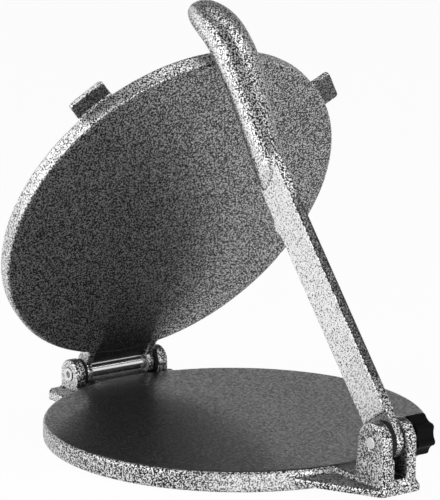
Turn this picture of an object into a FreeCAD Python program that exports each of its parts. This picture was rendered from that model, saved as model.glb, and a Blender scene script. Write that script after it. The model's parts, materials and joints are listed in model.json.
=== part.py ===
import FreeCAD, Part
import math
import os

# A hand press for dough: two round cast plates on a pin hinge, and a lever in a clevis.
# Millimetres. +Z is up, -Y is the front, X runs along both pins. The origin is the centre
# of the base plate's underside. The lid and lever are built lying flat, then swung to rest.

V = FreeCAD.Vector

# Plates
PLATE_R = 127.0
BASE_LEDGE = 1.6
BASE_T = 14.0
LID_T = 11.5
LID_WEB = 7.0
LID_RIM_W = 11.0
PLATE_GAP = 0.6
EDGE_R = 1.6
BASE_EDGE_R = 3.0
UNDER_DEPTH = 5.0
UNDER_RIM_W = 14.0

# Hinge at the back
HINGE_BEHIND = 16.4
HINGE_ABOVE = 3.1
PIN_R = 4.5
PIN_PROUD = 0.5
PIN_DRILL_R = 2.3
PIN_DRILL_DEPTH = 4.0
EAR_HALF_SPAN = 38.5
EAR_T = 7.7
EAR_R = 10.4
LUG_T = 5.0
LUG_R = 8.5
HINGE_WASHER_T = 2.3
HINGE_WASHER_R = 9.6
REAR_TONGUE_T = 6.5
REAR_TONGUE_HALF_W = 52.0
PAD_GAP = 0.8
WEB_GAP = 0.6
WEB_SET_BACK = 3.0

# Clevis at the front
PIVOT_AHEAD = 36.2
PIVOT_ABOVE = 23.3
CLEVIS_LEFT = 14.6
CLEVIS_RIGHT = 12.2
CLEVIS_R = 13.5
CLEVIS_FLARE = 3.5
CLEVIS_FLOOR_Z = 14.5
SPOT_R = 15.4
SPOT_DEPTH = 2.0
TONGUE_LOW_Z = 4.8
TONGUE_TOP_Z = 9.5
TONGUE_ROOT_HALF_W = 48.0
TONGUE_BORDER = 1.0
TONGUE_FOOT = 2.2
TONGUE_CORNER_R = 2.5
BOLT_R = 4.0
BOLT_END_R = 3.0
BOLT_PROUD = 0.4

# Lever: eye, bar, press nub and grip
EYE_HALF_T = 3.4
EYE_R = 11.5
NECK_HALF_T = 2.6
EYE_WASHER_LEFT_T = 3.4
EYE_WASHER_LEFT_R = 13.0
EYE_WASHER_RIGHT_T = 0.8
EYE_WASHER_RIGHT_R = 10.5
BAR_HALF_T = 3.6
BAR_HALF_D = 13.5
BAR_START = 18.0
SHOULDER_SLANT = 3.0
BAR_END = 188.0
NUB_R = 6.5
NUB_PROUD = 2.2
# Grip sections: distance along the lever, slant, rise above the bar's axis, half width,
# depth below the widest level and crown above it
GRIP = [
    (186.0, 0.30, -0.5, 2.4, 12.4, 12.6),
    (190.0, 0.30, -0.3, 4.4, 12.4, 12.6),
    (194.0, 0.28, 0.2, 7.0, 12.2, 12.4),
    (199.0, 0.22, 1.2, 8.4, 11.8, 12.2),
    (206.0, 0.15, 2.4, 9.2, 11.2, 12.0),
    (220.0, 0.05, 5.4, 10.7, 10.0, 11.6),
    (235.0, 0.0, 9.0, 11.9, 9.2, 11.5),
    (250.0, 0.0, 12.0, 13.1, 8.9, 11.8),
    (271.0, 0.0, 14.8, 15.2, 9.0, 13.0),
    (287.0, 0.0, 14.6, 15.2, 9.5, 13.3),
    (304.0, 0.0, 10.2, 14.9, 10.0, 13.4),
    (316.0, 0.0, 5.0, 12.0, 9.2, 11.7),
    (323.0, 0.0, 1.6, 7.8, 6.6, 8.0),
    (326.0, 0.0, -0.3, 3.3, 3.0, 3.4),
]
GRIP_FLATNESS = 0.77

# Knob
KNOB_R = 13.4
KNOB_T = 14.3
KNOB_LOBES = 7
KNOB_TURN = 4.0
KNOB_LOBE_R = 2.6
KNOB_VALLEY_R = 11.2
KNOB_EDGE_R = 1.0
KNOB_WASHER_T = 1.0
KNOB_WASHER_R = 7.5
INSERT_R = 5.0
INSERT_T = 8.0

# Lid tabs: angle from the -Y direction, and sizes
TAB_ANGLES = (-43.3, 53.2)
TAB_W = 27.0
TAB_REACH = 13.6
TAB_T = 3.8

# Ribs on the hidden sides, and the boss under the lever's nub
BOSS_R = 20.0
BOSS_RISE = 6.0
RIB_COUNT = 6
RIB_W = 8.0

# Fits
RUN = 0.05
SEAT = 0.02
FACE_GAP = 0.3

# Rest pose: the lid leans under the grip, which is this far from its edge
LID_OPEN_DEG = 61.4
LEAN_GAP = 0.4

# Derived places
BASE_R = PLATE_R + BASE_LEDGE
HINGE_Y = PLATE_R + HINGE_BEHIND
HINGE_Z = BASE_T + HINGE_ABOVE
PIVOT_Y = -PLATE_R - PIVOT_AHEAD
PIVOT_Z = BASE_T + PIVOT_ABOVE
NUB_AT = -PIVOT_Y - 1.2
LID_LOW_Z = BASE_T + PLATE_GAP
LID_TOP_Z = LID_LOW_Z + LID_T
EAR_IN_X = EAR_HALF_SPAN - EAR_T
LUG_OUT_X = EAR_IN_X - HINGE_WASHER_T - FACE_GAP
LUG_IN_X = LUG_OUT_X - LUG_T
SPOT_X = EYE_HALF_T + FACE_GAP + EYE_WASHER_LEFT_T
SLOT_LEFT = SPOT_X - SPOT_DEPTH
SLOT_RIGHT = EYE_HALF_T + FACE_GAP + EYE_WASHER_RIGHT_T
KNOB_IN_X = CLEVIS_RIGHT + KNOB_WASHER_T + FACE_GAP
HINGE = V(0, HINGE_Y, HINGE_Z)
PIVOT = V(0, PIVOT_Y, PIVOT_Z)


def box(x0, x1, y0, y1, z0, z1):
    return Part.makeBox(x1 - x0, y1 - y0, z1 - z0, V(x0, y0, z0))


def rod(x0, x1, r, centre):
    """A cylinder along X between two x values, about a centre's y and z."""
    return Part.makeCylinder(r, x1 - x0, V(x0, centre.y, centre.z), V(1, 0, 0))


def ring(x0, x1, outer, inner, centre):
    return rod(x0, x1, outer, centre).cut(rod(x0 - 1, x1 + 1, inner, centre))


def plate_from_outline(points, z0, z1):
    """A flat plate with the given outline of x, y pairs."""
    loop = [V(x, y, z0) for x, y in points]
    return Part.Face(Part.makePolygon(loop + loop[:1])).extrude(V(0, 0, z1 - z0))


def side_plate(points, x0, x1):
    """A plate with the given outline of y, z pairs, between two x values."""
    loop = [V(x0, y, z) for y, z in points]
    return Part.Face(Part.makePolygon(loop + loop[:1])).extrude(V(x1 - x0, 0, 0))


def mirrored(shape):
    return shape.mirror(V(0, 0, 0), V(1, 0, 0))


def edges_on(shape, test):
    return [e for e in shape.Edges if all(test(p) for p in e.discretize(5))]


def rounded(shape, radius, test):
    return shape.makeFillet(radius, edges_on(shape, test))


def disc(r, z0, z1, edge):
    body = Part.makeCylinder(r, z1 - z0, V(0, 0, z0))
    return rounded(body, edge, lambda p: abs(math.hypot(p.x, p.y) - r) < 1e-3
                   and (abs(p.z - z0) < 1e-3 or abs(p.z - z1) < 1e-3))


def ear(x_in, x_out, r, foot_z, flare, centre):
    """An upright ear with a round top and a flared foot, its outline softened on the outer face."""
    body = side_plate([(centre.y - r, foot_z), (centre.y + r + flare, foot_z),
                       (centre.y + r, centre.z), (centre.y - r, centre.z)], x_in, x_out)
    body = body.fuse(rod(x_in, x_out, r, centre)).removeSplitter()
    outline = [e for e in edges_on(body, lambda p: abs(p.x - x_out) < 1e-3)
               if e.BoundBox.ZMax > foot_z + 0.1]
    return body.makeFillet(EDGE_R * 0.75, outline)


def ribs(r0, r1, z0, z1):
    """Radial ribs between two radii."""
    bars = []
    for i in range(RIB_COUNT):
        bar = box(r0, r1, -RIB_W / 2, RIB_W / 2, z0, z1)
        bar.rotate(V(0, 0, 0), V(0, 0, 1), 360.0 * (i + 0.5) / RIB_COUNT)
        bars.append(bar)
    return bars


def base_plate():
    under_r = BASE_R - UNDER_RIM_W
    body = disc(BASE_R, 0, BASE_T, BASE_EDGE_R)
    hollow = Part.makeCylinder(under_r, UNDER_DEPTH + 1, V(0, 0, -1))
    hollow = hollow.cut(Part.makeCylinder(BOSS_R, UNDER_DEPTH + 2, V(0, 0, -1)))
    body = body.cut(hollow.cut(Part.makeCompound(ribs(BOSS_R - 2, under_r + 2, -1, UNDER_DEPTH + 1))))
    back = HINGE_Y + EAR_R + 0.4
    w = REAR_TONGUE_HALF_W
    root = math.sqrt(BASE_R ** 2 - w ** 2) - 4
    rear = plate_from_outline([(-w, root), (w, root), (w, back - 6), (w - 6, back), (6 - w, back),
                               (-w, back - 6)], 0, REAR_TONGUE_T)
    pad_w = LUG_IN_X - 2 * FACE_GAP
    pad = box(-pad_w, pad_w, PLATE_R - 6, back - 3, 1, HINGE_Z - PIN_R - PAD_GAP)
    wt = TONGUE_ROOT_HALF_W
    front = PIVOT_Y - CLEVIS_R - TONGUE_BORDER
    left = -CLEVIS_LEFT - TONGUE_BORDER
    right = CLEVIS_RIGHT + TONGUE_FOOT
    tongue_root = 4 - math.sqrt(BASE_R ** 2 - wt ** 2)
    tongue = plate_from_outline([(-wt, tongue_root), (wt, tongue_root), (right, front), (left, front)],
                                TONGUE_LOW_Z, TONGUE_TOP_Z)
    tongue = rounded(tongue, TONGUE_CORNER_R, lambda p: abs(p.y - front) < 1e-3
                     and min(abs(p.x - left), abs(p.x - right)) < 1e-3)
    ear_back = PIVOT_Y + CLEVIS_R
    neck_root = 6 - BASE_R
    neck = side_plate([(front + TONGUE_BORDER + 0.3, TONGUE_LOW_Z + 1), (neck_root, TONGUE_LOW_Z + 1),
                       (neck_root, BASE_T - 0.4), (ear_back + 6, BASE_T - 1.4),
                       (ear_back, TONGUE_TOP_Z + 1.5), (front + TONGUE_BORDER + 0.3, TONGUE_TOP_Z + 0.6)],
                      -CLEVIS_LEFT, CLEVIS_RIGHT)
    floor = box(-SLOT_LEFT - 1, SLOT_RIGHT + 1, PIVOT_Y - CLEVIS_R + 1, ear_back - 1,
                TONGUE_TOP_Z - 1, CLEVIS_FLOOR_Z)
    rear_ear = ear(EAR_IN_X, EAR_HALF_SPAN, EAR_R, REAR_TONGUE_T - 2, 0, HINGE)
    clevis_foot = TONGUE_TOP_Z - 3
    right_ear = ear(SLOT_RIGHT, CLEVIS_RIGHT, CLEVIS_R, clevis_foot, CLEVIS_FLARE, PIVOT)
    left_ear = mirrored(ear(SLOT_LEFT, CLEVIS_LEFT, CLEVIS_R, clevis_foot, CLEVIS_FLARE, PIVOT))
    left_ear = left_ear.cut(rod(-SPOT_X, 0, SPOT_R, PIVOT))
    body = body.multiFuse([rear, pad, tongue, neck, floor, rear_ear, mirrored(rear_ear), right_ear,
                           left_ear])
    body = body.cut(rod(-EAR_HALF_SPAN - 1, EAR_HALF_SPAN + 1, PIN_R + RUN, HINGE))
    body = body.cut(rod(-CLEVIS_LEFT - 1, CLEVIS_RIGHT + 1, BOLT_R + SEAT, PIVOT))
    return body.removeSplitter()


def lid_tab(angle):
    reach = PLATE_R + TAB_REACH
    root = PLATE_R - LID_RIM_W - 4
    half = TAB_W / 2
    flag = box(-half, half, -reach, -root, LID_TOP_Z, LID_TOP_Z + TAB_T)
    flag = rounded(flag, 3.0, lambda p: abs(abs(p.x) - half) < 1e-3 and abs(p.y + reach) < 1e-3)
    foot = box(-half, half, 2.0 - PLATE_R, -root, LID_TOP_Z - 3, LID_TOP_Z + TAB_T / 2)
    tab = flag.fuse(foot)
    tab.rotate(V(0, 0, 0), V(0, 0, 1), angle)
    return tab


def lid_plate():
    body = disc(PLATE_R, LID_LOW_Z, LID_TOP_Z, EDGE_R)
    web_top = LID_LOW_Z + LID_WEB
    pocket_r = PLATE_R - LID_RIM_W
    body = body.cut(Part.makeCylinder(pocket_r, LID_T, V(0, 0, web_top)))
    boss_top = LID_TOP_Z + BOSS_RISE
    boss = Part.makeCylinder(BOSS_R, boss_top - LID_LOW_Z - 1, V(0, 0, LID_LOW_Z + 1))
    boss = rounded(boss, EDGE_R, lambda p: abs(p.z - boss_top) < 1e-3)
    extra = [boss] + ribs(BOSS_R - 2, pocket_r + 2, web_top - 1, LID_TOP_Z - 1)
    extra += [lid_tab(a) for a in TAB_ANGLES]
    low = LID_LOW_Z
    top = HINGE_Z + LUG_R
    arm = side_plate([(PLATE_R - 14, low + 1), (PLATE_R - 3, low), (HINGE_Y, low), (HINGE_Y, top),
                      (PLATE_R - 14, top)], LUG_IN_X, LUG_OUT_X)
    lug = arm.fuse(rod(LUG_IN_X, LUG_OUT_X, LUG_R, HINGE)).removeSplitter()
    web = box(-LUG_IN_X - 1, LUG_IN_X + 1, PLATE_R - 8, HINGE_Y - PIN_R - WEB_GAP,
              low + WEB_SET_BACK, LID_TOP_Z - 1)
    extra += [lug, mirrored(lug), web]
    body = body.multiFuse(extra)
    body = body.cut(rod(-EAR_HALF_SPAN, EAR_HALF_SPAN, PIN_R + RUN, HINGE)).removeSplitter()
    body.rotate(HINGE, V(-1, 0, 0), LID_OPEN_DEG)
    return body


def grip_underside(along):
    """Height of the grip's underside above the lever's axis, read between its sections."""
    for (a0, _, c0, _, d0, _), (a1, _, c1, _, d1, _) in zip(GRIP, GRIP[1:]):
        if a0 <= along <= a1:
            t = (along - a0) / (a1 - a0)
            return (c0 - d0) * (1 - t) + (c1 - d1) * t
    return -BAR_HALF_D


def lever_rest_angle():
    """The lever's lowest angle that keeps the grip clear of the leaning lid's edge."""
    a = math.radians(LID_OPEN_DEG)
    edge = []
    for i in range(9):
        turn = math.pi / 2 * i / 8
        y = EDGE_R - PLATE_R - EDGE_R * math.sin(turn) - HINGE_Y
        z = LID_LOW_Z + EDGE_R - EDGE_R * math.cos(turn) - HINGE_Z
        edge.append((HINGE_Y + y * math.cos(a) + z * math.sin(a) - PIVOT_Y,
                     HINGE_Z - y * math.sin(a) + z * math.cos(a) - PIVOT_Z))
    angle = 30.0
    while angle < 80:
        c = math.cos(math.radians(angle))
        s = math.sin(math.radians(angle))
        if all(z * c - y * s + LEAN_GAP < grip_underside(y * c + z * s) for y, z in edge):
            break
        angle += 0.02
    return angle


def grip_section(along, slant, rise, half_w, depth, crown):
    """A round-topped oval with a flatter underside, across a lever that lies along +Y, top toward +Z."""
    points = []
    for i in range(24):
        side = math.sin(2 * math.pi * i / 24)
        height = -math.cos(2 * math.pi * i / 24)
        if height < 0:
            side = math.copysign(abs(side) ** GRIP_FLATNESS, side)
            height = -abs(height) ** GRIP_FLATNESS
        z = rise + height * (depth if height < 0 else crown)
        points.append(V(half_w * side, along + slant * z, z))
    curve = Part.BSplineCurve()
    curve.interpolate(points, PeriodicFlag=True)
    return Part.Wire([curve.toShape()])


def lever():
    eye = rod(-EYE_HALF_T, EYE_HALF_T, EYE_R, V(0, 0, 0))
    neck = side_plate([(0, -EYE_R), (EYE_R, -BAR_HALF_D + 0.5), (BAR_START + 6, -BAR_HALF_D + 0.5),
                       (BAR_START + 6, BAR_HALF_D - 0.5), (EYE_R / 2, BAR_HALF_D - 0.5), (0, EYE_R)],
                      -NECK_HALF_T, NECK_HALF_T)
    bar = side_plate([(BAR_START, -BAR_HALF_D), (BAR_END, -BAR_HALF_D), (BAR_END + 24, -4),
                      (BAR_END + 24, 11), (BAR_END + 12, BAR_HALF_D),
                      (BAR_START - SHOULDER_SLANT, BAR_HALF_D)], -BAR_HALF_T, BAR_HALF_T)
    bar = rounded(bar, 1.2, lambda p: abs(abs(p.x) - BAR_HALF_T) < 1e-3
                  and abs(abs(p.z) - BAR_HALF_D) < 1e-3)
    nub = rod(-BAR_HALF_T, BAR_HALF_T, NUB_R, V(0, NUB_AT, NUB_R - BAR_HALF_D - NUB_PROUD))
    grip = Part.makeLoft([grip_section(*s) for s in GRIP], True)
    body = bar.multiFuse([neck, eye, nub, grip])
    body = body.cut(rod(-EYE_HALF_T - 1, EYE_HALF_T + 1, BOLT_R + RUN, V(0, 0, 0))).removeSplitter()
    body.rotate(V(0, 0, 0), V(1, 0, 0), lever_rest_angle())
    body.translate(PIVOT)
    return body


def hinge_pin():
    reach = EAR_HALF_SPAN + PIN_PROUD
    body = rod(-reach, reach, PIN_R, HINGE)
    for x0, x1 in ((-reach - 1, PIN_DRILL_DEPTH - reach), (reach - PIN_DRILL_DEPTH, reach + 1)):
        body = body.cut(rod(x0, x1, PIN_DRILL_R, HINGE))
    return body


def pivot_bolt():
    tip = KNOB_IN_X + INSERT_T - 0.6
    shank = rod(-CLEVIS_LEFT - BOLT_PROUD, CLEVIS_RIGHT - 0.4, BOLT_R, PIVOT)
    shank = rounded(shank, 0.6, lambda p: p.x < -CLEVIS_LEFT)
    return shank.fuse(rod(0, tip, BOLT_END_R, PIVOT)).removeSplitter()


def star_knob():
    """A knob whose outline runs round each lobe and into a tangent scoop, bored for its insert."""
    lobe_at = KNOB_R - KNOB_LOBE_R
    step = math.pi / KNOB_LOBES
    lean = lobe_at * math.cos(step)
    scoop_r = ((KNOB_LOBE_R ** 2 - lobe_at ** 2 - KNOB_VALLEY_R ** 2 + 2 * lean * KNOB_VALLEY_R)
               / (2 * (KNOB_VALLEY_R - lean - KNOB_LOBE_R)))

    def at(r, turn):
        return PIVOT + V(KNOB_IN_X, r * math.cos(turn), r * math.sin(turn))

    def meet(lobe_turn, scoop_turn):
        lobe = at(lobe_at, lobe_turn)
        toward = at(KNOB_VALLEY_R + scoop_r, scoop_turn) - lobe
        return lobe + toward * (KNOB_LOBE_R / toward.Length)

    arcs = []
    for i in range(KNOB_LOBES):
        turn = math.radians(90 + KNOB_TURN) + 2 * step * i
        before = meet(turn, turn - step)
        after = meet(turn, turn + step)
        following = meet(turn + 2 * step, turn + step)
        arcs.append(Part.Arc(before, at(KNOB_R, turn), after).toShape())
        arcs.append(Part.Arc(after, at(KNOB_VALLEY_R, turn + step), following).toShape())
    body = Part.Face(Part.Wire(arcs)).extrude(V(KNOB_T, 0, 0))
    body = rounded(body, KNOB_EDGE_R, lambda p: abs(p.x - KNOB_IN_X) < 1e-3
                   or abs(p.x - KNOB_IN_X - KNOB_T) < 1e-3)
    return body.cut(rod(KNOB_IN_X - 1, KNOB_IN_X + INSERT_T + SEAT, INSERT_R + SEAT, PIVOT))


def build():
    parts = {
        "base_plate": base_plate(),
        "lid_plate": lid_plate(),
        "lever": lever(),
        "hinge_pin": hinge_pin(),
        "pivot_bolt": pivot_bolt(),
        "star_knob": star_knob(),
        "knob_insert": ring(KNOB_IN_X, KNOB_IN_X + INSERT_T, INSERT_R, BOLT_END_R + RUN, PIVOT),
        "knob_washer": ring(CLEVIS_RIGHT, CLEVIS_RIGHT + KNOB_WASHER_T, KNOB_WASHER_R,
                            BOLT_END_R + SEAT, PIVOT),
        "eye_washer_left": ring(-SPOT_X, EYE_WASHER_LEFT_T - SPOT_X, EYE_WASHER_LEFT_R,
                                BOLT_R + SEAT, PIVOT),
        "eye_washer_right": ring(SLOT_RIGHT - EYE_WASHER_RIGHT_T, SLOT_RIGHT, EYE_WASHER_RIGHT_R,
                                 BOLT_R + SEAT, PIVOT),
    }
    hinge_washer = ring(EAR_IN_X - HINGE_WASHER_T, EAR_IN_X, HINGE_WASHER_R, PIN_R + RUN, HINGE)
    parts["hinge_washer_right"] = hinge_washer
    parts["hinge_washer_left"] = mirrored(hinge_washer)
    return parts


os.makedirs("parts", exist_ok=True)
for name, shape in build().items():
    solids = shape.Solids
    print(name, "solids", len(solids), "valid", shape.isValid(), "volume", round(shape.Volume))
    (solids[0] if len(solids) == 1 else shape).exportStep("parts/" + name + ".step")
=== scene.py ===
# %% [markdown]
# This is a hand press for dough: two round castings on a pin hinge, and a cranked lever in a
# clevis. It could be modelled from nothing in Blender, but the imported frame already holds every
# piece at its real size and place. So this lesson only rounds the cast corners, mixes the
# finishes and lights the press. First the frame is loaded and its box is kept.

# %% Load the frame
import json
import math

import bmesh
import bpy
from mathutils import Matrix, Vector


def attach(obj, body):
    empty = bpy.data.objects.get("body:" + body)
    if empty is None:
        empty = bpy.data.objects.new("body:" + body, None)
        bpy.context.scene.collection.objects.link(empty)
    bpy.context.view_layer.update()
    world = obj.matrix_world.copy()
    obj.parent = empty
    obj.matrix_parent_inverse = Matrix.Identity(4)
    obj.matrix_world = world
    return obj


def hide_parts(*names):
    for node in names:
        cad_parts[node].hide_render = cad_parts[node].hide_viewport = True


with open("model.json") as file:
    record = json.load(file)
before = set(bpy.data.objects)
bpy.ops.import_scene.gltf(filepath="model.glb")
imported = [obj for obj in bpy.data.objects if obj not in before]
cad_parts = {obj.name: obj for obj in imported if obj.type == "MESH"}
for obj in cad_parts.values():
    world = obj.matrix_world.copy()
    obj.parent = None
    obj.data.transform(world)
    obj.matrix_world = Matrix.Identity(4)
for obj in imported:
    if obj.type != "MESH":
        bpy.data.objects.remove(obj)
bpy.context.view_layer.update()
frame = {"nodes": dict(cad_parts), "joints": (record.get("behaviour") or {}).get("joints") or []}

nodes = frame["nodes"]
print("pieces in the frame:", sorted(nodes))

# %% [markdown]
# The paint on a press follows its own directions: which way a face looks, and how far along its
# casting a point lies. They could be measured in the viewport, but the frame's joints already
# hold them. Two joints stand at the hinge and at the pivot, and the lid's swing is the angle at
# which it leans in the photograph. Only the lever's lean is written here: with it, the lid's
# edge rests on the grip.

# %% Find the press's directions
LEVER_LEAN = 49.86
SIDE = Vector((1, 0, 0))
FRONT = Vector((0, -1, 0))
UP = Vector((0, 0, 1))

joints = {joint["name"]: joint for joint in frame["joints"]}
hinge = Vector(joints["lid_open"]["pos_m"])
pivot = Vector(joints["lever_swing"]["pos_m"])

lid_angle = math.radians(-joints["hinge_pin_turn"]["range_deg"][0])
lid_along = FRONT * math.cos(lid_angle) + UP * math.sin(lid_angle)
lid_under = FRONT * math.sin(lid_angle) - UP * math.cos(lid_angle)
lid_centre = hinge + lid_along * hinge.y

lever_angle = math.radians(LEVER_LEAN)
lever_along = UP * math.sin(lever_angle) - FRONT * math.cos(lever_angle)
lever_top = UP * math.cos(lever_angle) + FRONT * math.sin(lever_angle)
print("lid leans at", round(math.degrees(lid_angle), 1), "degrees and the lever at", LEVER_LEAN)

# %% [markdown]
# A finish is a small tree of nodes. It could be linked by hand in the Shader Editor, but the
# links hide the idea. Here one class stands for a number that varies over a surface, and
# Python's own signs add its Math nodes, so that 1 - mask reads as it would on paper.

# %% A number that varies
class Amount:
    """A number that varies over a surface: one socket, with arithmetic."""

    def __init__(self, finish, socket):
        self.finish = finish
        self.socket = socket

    def calc(self, operation, first, second):
        return self.finish.node("ShaderNodeMath", {"operation": operation}, {0: first, 1: second})

    def __add__(self, other):
        return self.calc("ADD", self, other)

    def __sub__(self, other):
        return self.calc("SUBTRACT", self, other)

    def __rsub__(self, other):
        return self.calc("SUBTRACT", other, self)

    def __mul__(self, other):
        return self.calc("MULTIPLY", self, other)

    __radd__ = __add__
    __rmul__ = __mul__

    def at_most(self, other):
        return self.calc("MINIMUM", self, other)

    def at_least(self, other):
        return self.calc("MAXIMUM", self, other)

    def between(self, start, end):
        """Goes evenly from start to end as the number goes from 0 to 1."""
        return start + (end - start) * self

    def ease(self, low, high, start=0.0, end=1.0):
        """Goes smoothly from start to end as the number goes from low to high."""
        return self.finish.node("ShaderNodeMapRange", {"interpolation_type": "SMOOTHSTEP"},
                                {"Value": self, "From Min": low, "From Max": high,
                                 "To Min": start, "To Max": end})

    def fade(self, low, high):
        """Goes smoothly from 1 to 0 as the number goes from low to high."""
        return self.ease(low, high, 1.0, 0.0)

    def beyond(self, low, high):
        """0 up to low and 1 past high, whatever the number's sign."""
        return (self * self).ease(low ** 2, high ** 2)

    def within(self, low, high):
        """1 up to low and 0 past high, whatever the number's sign."""
        return (self * self).fade(low ** 2, high ** 2)


print("numbers can be added, multiplied and eased")

# %% [markdown]
# A second class holds the tree. Nodes could each be made in their own few lines, but one method
# that sets a node up and then fills or links its sockets keeps every finish short. The other
# methods are plain names for what a finish asks: where a point lies, which way it faces, a
# noise, a colour between two colours, and the shader at the end.

# %% A tree of nodes
MIX_SHARE = 0
MIX_FIRST_COLOUR = 6
MIX_SECOND_COLOUR = 7
MIX_COLOUR = 2


class Finish:
    """A node tree that is filled by expressions."""

    def __init__(self, owner):
        owner.use_nodes = True
        self.owner = owner
        self.tree = owner.node_tree
        self.tree.nodes.clear()

    def node(self, kind, settings=None, inputs=None, output=0):
        made = self.tree.nodes.new(kind)
        for name, value in (settings or {}).items():
            setattr(made, name, value)
        for name, value in (inputs or {}).items():
            if isinstance(value, Amount):
                self.tree.links.new(value.socket, made.inputs[name])
            else:
                made.inputs[name].default_value = value
        return Amount(self, made.outputs[output]) if made.outputs else made

    def dot(self, vector, direction):
        return self.node("ShaderNodeVectorMath", {"operation": "DOT_PRODUCT"},
                         {0: vector, 1: direction}, output="Value")

    def place(self):
        return self.node("ShaderNodeTexCoord", output="Object")

    def reach(self, direction, start=None):
        """How far a point lies along a direction, in metres from a start or from the origin."""
        distance = self.dot(self.place(), direction)
        return distance if start is None else distance - start.dot(direction)

    def facing(self, direction):
        """How squarely a point faces a direction: 1 straight on, 0 across, -1 away."""
        return self.dot(self.node("ShaderNodeTexCoord", output="Normal"), direction)

    def noise(self, scale, detail, distortion=0.0):
        return self.node("ShaderNodeTexNoise", None,
                         {"Vector": self.place(), "Scale": scale, "Detail": detail,
                          "Distortion": distortion})

    def tint(self, share, first, second):
        """A colour between two colours."""
        return self.node("ShaderNodeMix", {"data_type": "RGBA"},
                         {MIX_SHARE: share, MIX_FIRST_COLOUR: first, MIX_SECOND_COLOUR: second},
                         output=MIX_COLOUR)

    def surface(self, sockets, height, depth):
        """Ends the tree in one shader, with a bump that is this deep in metres."""
        bump = self.node("ShaderNodeBump", None, {"Strength": 1.0, "Distance": depth, "Height": height})
        shader = self.node("ShaderNodeBsdfPrincipled", None, {**sockets, "Normal": bump})
        self.node("ShaderNodeOutputMaterial", None, {"Surface": shader})
        return self.owner


print("finishes can be written as expressions")

# %% [markdown]
# A mask says how much of a coat a point gets, from 0 to 1. It could be brushed on in Vertex
# Paint, but these castings are regular, so a face is found by the way it looks and by where it
# lies, and the mask stays sharp at any size. Flanks look left or right, and a rim looks across
# its plate's direction. The gap between the hinge's lugs is in deep shade on the real press, so
# it has a mask of its own, which paints that shade dark. A pair of values is where a mask
# starts to change and where it ends.

# %% Masks
STRAIGHT_ON = (0.6, 0.85)
FLANK = (0.8485, 0.9747)
ACROSS = (0.3162, 0.6325)
LUG_GAP = (0.0205, 0.02388)
HINGE_FRONT = (-0.139, -0.1)


def looks(paint, direction, span=STRAIGHT_ON):
    return paint.facing(direction).ease(*span)


def flank(paint, span=FLANK):
    return paint.facing(SIDE).beyond(*span)


def looks_across(paint, direction):
    return paint.facing(direction).within(*ACROSS)


def outside(first, second, span):
    """1 outside a circle, from two distances at right angles."""
    low, high = span
    return (first * first + second * second).ease(low ** 2, high ** 2)


# Painted shade: the gap between the hinge's lugs.
def hinge_gap(paint):
    return paint.reach(FRONT).fade(*HINGE_FRONT) * paint.reach(SIDE).within(*LUG_GAP)


print("the hinge's gap is", round(2000 * LUG_GAP[1], 1), "mm wide")

# %% [markdown]
# A cast corner gets little light, so its colour is darkened there as painted shade. The dark
# could be baked into an image, but the Ambient Occlusion node measures it on any mesh. Places
# that the press itself keeps in shade get the same painted shade from a mask in this step.

# %% Painted shade on a casting
CREVICE_DEPTH = 0.02
CREVICE_SAMPLES = 6
CREVICE_OPEN = (0.3, 0.74)
CREVICE_LIGHT = 0.06
SHADE_DEPTH = 0.9


def painted_light(paint, shade):
    """Painted light: 1 on an open face, and little, as painted shade, in a crevice or where the shade's
    mask lies.
    """
    crevice = paint.node("ShaderNodeAmbientOcclusion",
                         {"only_local": True, "samples": CREVICE_SAMPLES},
                         {"Distance": CREVICE_DEPTH}, output="AO")
    return crevice.ease(*CREVICE_OPEN, CREVICE_LIGHT, 1.0) * (1 - SHADE_DEPTH * shade(paint))


# The share of its colour that a crevice keeps, as painted shade.
print("crevices keep", CREVICE_LIGHT, "of their silver")

# %% [markdown]
# The press faces have a clear film over the paint, which mirrors the room in small ripples. A
# second shader could be mixed in for it, but the Principled shader has a coat for just this. Only
# the coat's weight varies over the face: its blur and its index are plain values.

# %% Film on a press face
RIPPLE = (0.42, 0.58)
RIPPLE_LOW = 0.2
FILM_IOR = 1.7


def glossy_film(paint, share, ripples, polish, blur):
    ripple = paint.noise(ripples, detail=1.0).ease(*RIPPLE, RIPPLE_LOW, 1.0)
    return {"Coat Weight": share * ripple * polish, "Coat Roughness": blur, "Coat IOR": FILM_IOR}


print("the film's weight goes down to", RIPPLE_LOW, "between its ripples")

# %% [markdown]
# Hammertone is a silver paint that crawls as it dries. Flakes gather in small raised blobs, and
# dark veins of clear binder are left between them. A picture of the paint would repeat and
# smear, so one noise places the blobs and also lifts them, and every blob catches the light by
# itself. The paint comes in three versions. The full coat has blobs and veins. The shaded coat
# is painted shade, with dim streaks, on faces that mirror a dark room. The highlight coat is a
# painted highlight, pale, where the lamps whiten the paint.

# %% Hammertone paint
def grey(level):
    return (level, level, level, 1.0)


VEIN = grey(0.01)
SILVER = grey(0.8)
HIGHLIGHT_VEIN = grey(0.1)
HIGHLIGHT_SILVER = grey(0.95)
VEIN_ROUGHNESS = 0.38
BLOB_ROUGHNESS = 0.28
BINDER_SPECULAR = 0.15
CRAWL = {"detail": 0.3, "distortion": 0.6}
BLOB_EDGE = 0.08
BLOB_HEIGHT = 0.00016
STREAK = (0.47, 0.62)
HIGHLIGHT_BLOB = (0.3, 0.5)
FLAKES = 3600
FLAKE_TONE = (0.75, 1.1)
CLOUDS = 14
CLOUD_TONE = (0.85, 1.15)


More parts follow.
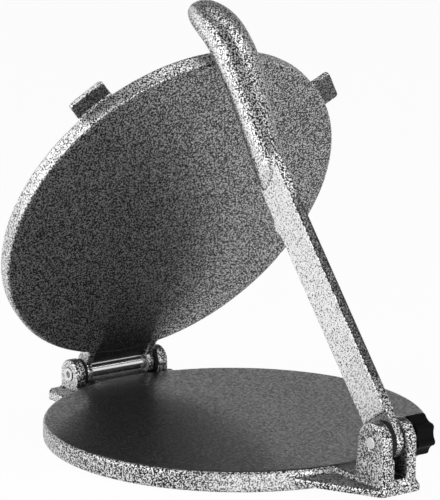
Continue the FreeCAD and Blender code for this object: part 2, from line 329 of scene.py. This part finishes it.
def hammertone(name, blobs, cover, metal, shade, shaded_faces, shaded_silver, painted_highlight, film=None):
    paint = Finish(bpy.data.materials.new(name))
    crawl = paint.noise(blobs, **CRAWL)
    blob = crawl.ease(cover, cover + BLOB_EDGE)
    # Painted shade in crevices and in shaded places.
    light = painted_light(paint, shade)
    # Painted shade on faces that mirror a dark room.
    shaded_share = shaded_faces(paint)
    # Painted highlight on faces that the lamps whiten.
    highlight_share = painted_highlight(paint) * light

    flake = paint.noise(FLAKES, detail=1.0).between(*FLAKE_TONE)
    cloud = paint.noise(CLOUDS, detail=2.0).between(*CLOUD_TONE)
    full_coat = paint.tint((blob * flake * cloud * light).at_most(1.0), VEIN, SILVER)
    shaded_coat = paint.tint(crawl.ease(*STREAK) * light, VEIN, grey(shaded_silver))
    highlight_coat = paint.tint(crawl.ease(*HIGHLIGHT_BLOB), HIGHLIGHT_VEIN, HIGHLIGHT_SILVER)
    colour = paint.tint(highlight_share, paint.tint(shaded_share, full_coat, shaded_coat), highlight_coat)

    sockets = {"Base Color": colour, "Metallic": blob * (1 - highlight_share) * metal,
               "Roughness": blob.between(VEIN_ROUGHNESS, BLOB_ROUGHNESS),
               "Specular IOR Level": BINDER_SPECULAR}
    if film:
        sockets.update(glossy_film(paint, shaded_share * light, **film))
    return paint.surface(sockets, height=crawl, depth=BLOB_HEIGHT)


print("blobs stand", BLOB_HEIGHT * 1000, "mm high")

# %% [markdown]
# The base's round top is a press face, made darkest by painted shade, under a film that mirrors
# the room softly. The rim has the full coat, with a painted highlight at half strength on a
# stretch at the front left. The sides of the hinge's ears get a strong painted highlight, and
# those of the clevis hardly any. The tongue that carries the clevis is painted darker than the
# rim, as painted shade. A mesh for each place would show its seams, so three masks on one paint
# say all of that.

# %% Paint the base
BASE_LEVEL = (0.8, 0.95)
PRESS_HEIGHT = (0.0125, 0.0135)
PLATE_EDGE = (0.127, 0.12889)
TONGUE_HEIGHT = (0.016, 0.018)
FRONT_HALF = (0.0, 0.05)
TONGUE_SHADE = 0.6
EARS = (-0.1, -0.02)
REAR_EARS_HIGHLIGHT = 0.7
FRONT_EARS_HIGHLIGHT = 0.1
HIGHLIGHT_STRETCH = Vector((-0.24, -0.97, 0))
STRETCH_START = (0.1, 0.122)
STRETCH_END = (0.1275, 0.131)
STRETCH_HIGHLIGHT = 0.5


# Painted shade on the base's top, which mirrors a dark room.
def base_shaded_faces(paint):
    return looks(paint, UP, BASE_LEVEL) * paint.reach(UP).ease(*PRESS_HEIGHT)


# Painted shade in the hinge's gap and on the tongue.
def base_shade(paint):
    ahead = paint.reach(FRONT)
    past_plate = outside(paint.reach(SIDE), ahead, PLATE_EDGE) * ahead.ease(*FRONT_HALF)
    tongue = looks(paint, UP, BASE_LEVEL) * past_plate * paint.reach(UP).fade(*TONGUE_HEIGHT)
    return hinge_gap(paint).at_least(tongue * TONGUE_SHADE)


# Painted highlight on the ears' sides and on a stretch of the rim.
def base_highlight(paint):
    ears = flank(paint) * paint.reach(FRONT).ease(*EARS, REAR_EARS_HIGHLIGHT, FRONT_EARS_HIGHLIGHT)
    reach = paint.reach(HIGHLIGHT_STRETCH)
    stretch = reach.ease(*STRETCH_START) * reach.fade(*STRETCH_END) * looks_across(paint, UP)
    return ears.at_least(stretch * STRETCH_HIGHLIGHT)


base_paint = hammertone("hammertone_base", blobs=980, cover=0.48, metal=0.5, shade=base_shade,
                        shaded_faces=base_shaded_faces, shaded_silver=0.04, painted_highlight=base_highlight,
                        film={"ripples": 620, "polish": 1.0, "blur": 0.18})
print("mixed", base_paint.name, "with", len(base_paint.node_tree.nodes), "nodes")

# %% [markdown]
# The lid's underside is the other press face, turned to the viewer. Its painted shade keeps more
# silver than the base's, so its streaks show as a fine worm pattern under a duller film. The rim
# has a partial painted highlight on a stretch at the upper left, and its flanks a weaker one, and
# the faces of the two lifting tabs get painted shade, darker than the plate. A new paint could be
# mixed, but only the masks and a few values differ.

# %% Paint the lid
TAB_ROOT = (0.12763, 0.12952)
TAB_HEIGHT = (0.1, 0.12)
TAB_SHADE = 0.6
LID_FLANK_HIGHLIGHT = 0.4
LID_STRETCH_TURN = math.radians(67)
LID_STRETCH = (0.119, 0.1245)
LID_STRETCH_HIGHLIGHT = 0.6
lid_upper_left = lid_along * math.cos(LID_STRETCH_TURN) - SIDE * math.sin(LID_STRETCH_TURN)


# Painted shade on the lid's underside, which mirrors a dark room.
def lid_shaded_faces(paint):
    return looks(paint, lid_under)


# Painted shade in the hinge's gap and on the tabs' faces.
def lid_shade(paint):
    past_plate = outside(paint.reach(SIDE), paint.reach(lid_along, lid_centre), TAB_ROOT)
    tabs = past_plate * looks(paint, lid_under) * paint.reach(UP).ease(*TAB_HEIGHT)
    return hinge_gap(paint).at_least(tabs * TAB_SHADE)


# Painted highlight on the flanks and on a stretch of the rim.
def lid_highlight(paint):
    stretch = paint.reach(lid_upper_left, lid_centre).ease(*LID_STRETCH) * looks_across(paint, lid_under)
    return (flank(paint) * LID_FLANK_HIGHLIGHT).at_least(stretch * LID_STRETCH_HIGHLIGHT)


lid_paint = hammertone("hammertone_lid", blobs=1000, cover=0.46, metal=0.7, shade=lid_shade,
                       shaded_faces=lid_shaded_faces, shaded_silver=0.47, painted_highlight=lid_highlight,
                       film={"ripples": 1000, "polish": 0.7, "blur": 0.26})
print("mixed", lid_paint.name, "with", len(lid_paint.node_tree.nodes), "nodes")

# %% [markdown]
# The lever is a flat bar with a round grip. The bar's top has painted shade with no film, and its
# sides a pale painted highlight. The grip has the full coat, with a painted highlight band along
# each cheek. The neck at the eye, between the clevis's ears, is painted nearly black, as painted
# shade. Two meshes could carry two paints, but the real lever is one casting, so bar and grip
# are told apart by their width.

# %% Paint the lever
BAR_START = (0.02, 0.045)
BAR_END = (0.165, 0.18)
BAR_HALF_WIDTH = (0.003944, 0.00483)
BAR_HIGHLIGHT_GROWS = (-0.12, 0.1)
CHEEK_UNDER = (-0.15, 0.1)
CHEEK_TOP = (0.3, 0.6)
CHEEK_FLANK = (0.6325, 0.8367)
CHEEK_START = (0.1, 0.16)
CHEEK_HIGHLIGHT = 0.75
NECK_END = (0.014, 0.019)
NECK_SHADE = 0.8


def lever_reach(paint):
    return paint.reach(lever_along, pivot)


# Painted shade on the bar's top.
def lever_shaded_top(paint):
    reach = lever_reach(paint)
    return looks(paint, lever_top) * reach.ease(*BAR_START) * reach.fade(*BAR_END)


# Painted highlight on the bar's sides and along the grip's cheeks.
def lever_highlight(paint):
    reach = lever_reach(paint)
    bar = paint.reach(SIDE).within(*BAR_HALF_WIDTH)
    bar_side = flank(paint) * bar * reach.ease(*BAR_HIGHLIGHT_GROWS)
    crown = paint.facing(lever_top)
    cheek = crown.ease(*CHEEK_UNDER) * crown.fade(*CHEEK_TOP) * flank(paint, CHEEK_FLANK)
    return bar_side.at_least(cheek * (1 - bar) * reach.ease(*CHEEK_START) * CHEEK_HIGHLIGHT)


# Painted shade on the neck between the clevis's ears.
def lever_neck_shade(paint):
    return flank(paint) * lever_reach(paint).fade(*NECK_END) * NECK_SHADE


lever_paint = hammertone("hammertone_lever", blobs=1050, cover=0.485, metal=0.75, shade=lever_neck_shade,
                         shaded_faces=lever_shaded_top, shaded_silver=0.2, painted_highlight=lever_highlight)
print("mixed", lever_paint.name, "with", len(lever_paint.node_tree.nodes), "nodes")

# %% [markdown]
# The hinge pin, the bolt and the knob's washer are turned steel, and the knob's insert is brass.
# A lathe leaves fine rings round a piece's axis. They could be cut in the mesh, but they are far
# finer than its faces, so a noise that runs only along the axis draws them. Smudges dull them.

# %% Steel and brass
RINGS = 9000.0
RING_DEPTH = 0.000004
RING_SHARE = 0.5
SMUDGES = 160
SMUDGE_SHARE = 0.3
SMUDGE_ROUGHNESS = 0.12
GROOVE_TONE = 0.8


def turned_metal(name, colour, roughness):
    metal = Finish(bpy.data.materials.new(name))
    ring = metal.node("ShaderNodeTexNoise", {"noise_dimensions": "1D"},
                      {"W": metal.reach(SIDE), "Scale": RINGS})
    smudge = metal.noise(SMUDGES, detail=2.0)
    groove = tuple(GROOVE_TONE * part for part in colour)
    tone = metal.tint(ring * RING_SHARE + smudge * SMUDGE_SHARE, (*groove, 1.0), (*colour, 1.0))
    return metal.surface({"Base Color": tone, "Metallic": 1.0,
                          "Roughness": smudge.between(roughness, roughness + SMUDGE_ROUGHNESS)},
                         height=ring, depth=RING_DEPTH)


steel = turned_metal("polished_steel", (0.85, 0.85, 0.86), 0.05)
bolt_steel = turned_metal("bolt_steel", (0.8, 0.8, 0.81), 0.4)
brass = turned_metal("brass", (0.72, 0.56, 0.27), 0.25)
print("mixed", steel.name, bolt_steel.name, "and", brass.name)

# %% [markdown]
# The star knob is moulded and the washers are stamped, all of them nearly black. A flat black
# would look like a hole in the picture. A fine grain breaks up the highlights, and broad scuffs
# vary the tone and the gloss.

# %% Black pieces
GRAIN = 1500
GRAIN_DEPTH = 0.00003
SCUFFS = 90
SCUFF_TONE = (0.6, 1.6)
SCUFF_ROUGHNESS = 0.15
BLACK_SPECULAR = 0.05


def moulded_black(name, level, roughness):
    black = Finish(bpy.data.materials.new(name))
    grain = black.noise(GRAIN, detail=2.0)
    scuff = black.noise(SCUFFS, detail=3.0)
    dark, pale = (grey(level * tone) for tone in SCUFF_TONE)
    return black.surface({"Base Color": black.tint(scuff, dark, pale),
                          "Roughness": scuff.between(roughness, roughness + SCUFF_ROUGHNESS),
                          "Specular IOR Level": BLACK_SPECULAR},
                         height=grain, depth=GRAIN_DEPTH)


knob_black = moulded_black("knob_black", 0.002, 0.45)
washer_black = moulded_black("washer_black", 0.015, 0.6)
print("mixed", knob_black.name, "and", washer_black.name)

# %% [markdown]
# Sand-cast corners are never sharp, and paint rounds them further. Bevels would need every edge
# to be chosen, so a copy of each casting is skinned again with small voxels and rubbed smooth,
# which rounds the corners and fills the inner ones, as on a real casting. The copy is laid flat
# first, so that its large faces follow the voxel grid and stay even.

# %% Skin a casting
WELD = 0.000002
SLACK = 0.0001
RUBS = 6
RUB_FACTOR = 0.5


def turned_about(point, angle):
    return Matrix.Translation(point) @ Matrix.Rotation(angle, 4, "X") @ Matrix.Translation(-point)


def flat_copy(name, lay_flat):
    bm = bmesh.new()
    bm.from_mesh(nodes[name].data)
    bmesh.ops.remove_doubles(bm, verts=bm.verts, dist=WELD)
    bmesh.ops.transform(bm, matrix=lay_flat, verts=bm.verts)
    rough = bpy.data.meshes.new(name + "_rough")
    bm.to_mesh(rough)
    bm.free()
    casting = bpy.data.objects.new(name + "_casting", rough)
    bpy.context.scene.collection.objects.link(casting)
    return casting


def skinned(casting, voxel):
    skin = casting.modifiers.new("skin", "REMESH")
    skin.mode = "VOXEL"
    skin.voxel_size = voxel
    skin.adaptivity = SLACK
    rub = casting.modifiers.new("rub", "SMOOTH")
    rub.factor = RUB_FACTOR
    rub.iterations = RUBS
    shaped = casting.evaluated_get(bpy.context.evaluated_depsgraph_get())
    mesh = bpy.data.meshes.new_from_object(shaped)
    casting.modifiers.clear()
    return mesh


print("skins are rubbed", RUBS, "times")

# %% [markdown]
# Rubbing also narrows the bores a little, and the skins would cut into the hinge pin and the
# bolt as the joints turn. A workshop reams a cast bore to size, and so does this step: points
# that lie too near an axis are pushed out to the bore's radius. The lever gets finer voxels than
# the plates, because its eye and its bar are thin.

# %% Round the castings
PIN_BORE = 0.0046
BOLT_BORE = 0.0041
PLATE_VOXEL = 0.0008
LEVER_VOXEL = 0.0005


def ream(mesh, axis, radius):
    for vertex in mesh.vertices:
        spoke = Vector((0, vertex.co.y - axis.y, vertex.co.z - axis.z))
        if spoke.length < radius:
            vertex.co += spoke.normalized() * (radius - spoke.length)


def rounded_casting(name, body, lay_flat, finish, voxel):
    casting = flat_copy(name, lay_flat)
    mesh = skinned(casting, voxel)
    mesh.transform(lay_flat.inverted())
    ream(mesh, hinge, PIN_BORE)
    ream(mesh, pivot, BOLT_BORE)
    mesh.shade_smooth()
    mesh.materials.clear()
    mesh.materials.append(finish)
    casting.data = mesh
    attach(casting, body)
    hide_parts(name)
    mesh.calc_loop_triangles()
    print(name, "casting has", len(mesh.loop_triangles), "triangles")


rounded_casting("base_plate", "base", Matrix(), base_paint, PLATE_VOXEL)
rounded_casting("lid_plate", "lid", turned_about(hinge, lid_angle), lid_paint, PLATE_VOXEL)
rounded_casting("lever", "lever", turned_about(pivot, -lever_angle), lever_paint, LEVER_VOXEL)

# %% [markdown]
# The pins, washers, knob and insert are turned, stamped or moulded to shape, and the frame's
# own meshes already show that. New meshes would add nothing, so each node only gets its finish.
# The three hidden castings are painted too, to match the skins that stand for them.

# %% Dress the frame's pieces
finishes = {
    "base_plate": base_paint,
    "lid_plate": lid_paint,
    "lever": lever_paint,
    "hinge_pin": steel,
    "pivot_bolt": bolt_steel,
    "knob_washer": bolt_steel,
    "knob_insert": brass,
    "star_knob": knob_black,
    "hinge_washer_left": washer_black,
    "hinge_washer_right": washer_black,
    "eye_washer_left": washer_black,
    "eye_washer_right": washer_black,
}
for name, finish in finishes.items():
    nodes[name].data.materials.clear()
    nodes[name].data.materials.append(finish)
print("dressed", len(finishes), "pieces")

# %% [markdown]
# The press stands on a plain white floor. A lit floor never comes out quite white, and stronger
# lamps would bleach the press. So the camera and shiny metal see it glow white, by the kind of
# ray that meets it, and a small share of its own shading keeps the shadow under the base.

# %% Floor
FLOOR_HALF = 6.0
FLOOR_Z = -0.0003
FLOOR_TONE = 0.85
FLOOR_SHOWN_WHITE = 0.96


def ray_is(finish, *kinds):
    """1 for a ray of any of these kinds."""
    shares = [finish.node("ShaderNodeLightPath", output=kind) for kind in kinds]
    found = shares[0]
    for share in shares[1:]:
        found = found.at_least(share)
    return found


floor_mesh = bpy.data.meshes.new("floor")
bm = bmesh.new()
bmesh.ops.create_grid(bm, x_segments=1, y_segments=1, size=FLOOR_HALF)
bmesh.ops.translate(bm, verts=bm.verts, vec=(0, 0, FLOOR_Z))
bm.to_mesh(floor_mesh)
bm.free()
floor = bpy.data.objects.new("floor", floor_mesh)
bpy.context.scene.collection.objects.link(floor)

white = Finish(bpy.data.materials.new("white_floor"))
share = ray_is(white, "Is Camera Ray", "Is Glossy Ray", "Is Transmission Ray") * FLOOR_SHOWN_WHITE
lit = white.node("ShaderNodeBsdfDiffuse", None, {"Color": grey(FLOOR_TONE)})
glowing = white.node("ShaderNodeEmission", None, {"Color": grey(1.0), "Strength": 1.0})
mixed = white.node("ShaderNodeMixShader", None, {0: share, 1: lit, 2: glowing})
white.node("ShaderNodeOutputMaterial", None, {"Surface": mixed})
floor_mesh.materials.append(white.owner)
print("floor reaches", FLOOR_HALF, "metres each way")

# %% [markdown]
# Shiny paint looks like the room that it mirrors. A picture of a studio could light the press,
# but a few values are enough: the room is bright at the front left, half as bright at the back
# right, and dim overhead, which keeps the lever's top edge dark. The camera itself sees plain
# white, and matt paint gets about a third of the light that shiny paint mirrors.

# %% Room
BRIGHT_SIDE = Vector((-0.6, -0.8, 0))
ROUND_THE_ROOM = (-1.0, 0.3)
FAR_SIDE = 0.5
WALL_TOP = (0.25, 0.75)
DIM = 0.06
AMBIENT = 0.36
room = Finish(bpy.data.worlds.new("studio"))
bpy.context.scene.world = room.owner
outward = room.node("ShaderNodeTexCoord", output="Generated")
walls = room.dot(outward, BRIGHT_SIDE).ease(*ROUND_THE_ROOM, FAR_SIDE, 1.0)
sweep = (walls * room.dot(outward, UP).fade(*WALL_TOP)).between(DIM, 1.0)
mirrored = ray_is(room, "Is Glossy Ray", "Is Transmission Ray").at_least(AMBIENT)
strength = ray_is(room, "Is Camera Ray").at_least(sweep * mirrored)
glow = room.node("ShaderNodeBackground", None, {"Color": grey(1.0), "Strength": strength})
room.node("ShaderNodeOutputWorld", None, {"Surface": glow})
print("room lit from", tuple(BRIGHT_SIDE))

# %% [markdown]
# Four softboxes give the highlights. The large one on the left whitens the lever's side and the
# lid's left rim, and the low one in front lights the base's rim. Two hang above: one is mirrored
# in the bar's top, and one in the lid's upper rim. These two stand where a ray from the camera
# goes after it meets that face, which is quicker than trying lamps by eye.

# %% Lamps
SOFTBOXES = {
    "key_left": {"at": (-1.1, 0.2, 0.64), "toward": (0, 0, 0.16), "size": 1.4, "watts": 13.0},
    "front": {"at": (0.05, -0.66, 0.12), "toward": (0, -0.1, 0.03), "size": 0.3, "watts": 1.8},
    "overhead": {"at": (0.36, -0.35, 1.0), "toward": (0, 0.05, 0.28), "size": 0.6, "watts": 3.3},
    "above": {"at": (0.1, 0.2, 1.25), "toward": (0, 0.03, 0.27), "size": 0.5, "watts": 1.4},
}


def softbox(name, at, toward, size, watts):
    lamp = bpy.data.lights.new(name, "AREA")
    lamp.shape = "SQUARE"
    lamp.size = size
    lamp.energy = watts
    holder = bpy.data.objects.new(name, lamp)
    holder.location = at
    holder.rotation_euler = (Vector(toward) - Vector(at)).to_track_quat("-Z", "Y").to_euler()
    holder.visible_camera = False
    bpy.context.scene.collection.objects.link(holder)


for name, settings in SOFTBOXES.items():
    softbox(name, **settings)
bpy.context.scene.view_settings.view_transform = "Standard"
print("hung", len(SOFTBOXES), "softboxes")

# %% [markdown]
# The camera stands at the front left, a little above the table, and looks back across the press.
# Its place could be found by dragging it about over the photograph, but a fit to the outlines of
# the two plates is closer, and these values are that fit.

# %% Camera
AZIMUTH = math.radians(-36.023)
ELEVATION = math.radians(13.198)
ROLL = math.radians(0.361)
TARGET = Vector((0, 0, 0.06))
DISTANCE = 2.32833
SIDE_STEP = -0.01066
RISE = 0.0666
LENS_MM = 252.06
SENSOR_MM = 36.0
back = Vector((math.sin(AZIMUTH) * math.cos(ELEVATION), -math.cos(AZIMUTH) * math.cos(ELEVATION),
               math.sin(ELEVATION)))
level_right = Vector((math.cos(AZIMUTH), math.sin(AZIMUTH), 0))
level_up = back.cross(level_right)
right = level_right * math.cos(ROLL) + level_up * math.sin(ROLL)
up = level_up * math.cos(ROLL) - level_right * math.sin(ROLL)
eye = TARGET + back * DISTANCE + right * SIDE_STEP + up * RISE
camera = bpy.data.objects.new("camera", bpy.data.cameras.new("camera"))
camera.data.lens = LENS_MM
camera.data.sensor_width = SENSOR_MM
camera.matrix_world = Matrix.Translation(eye) @ Matrix((right, up, back)).transposed().to_4x4()
bpy.context.scene.collection.objects.link(camera)
bpy.context.scene.camera = camera
print("camera at", [round(part, 3) for part in eye])
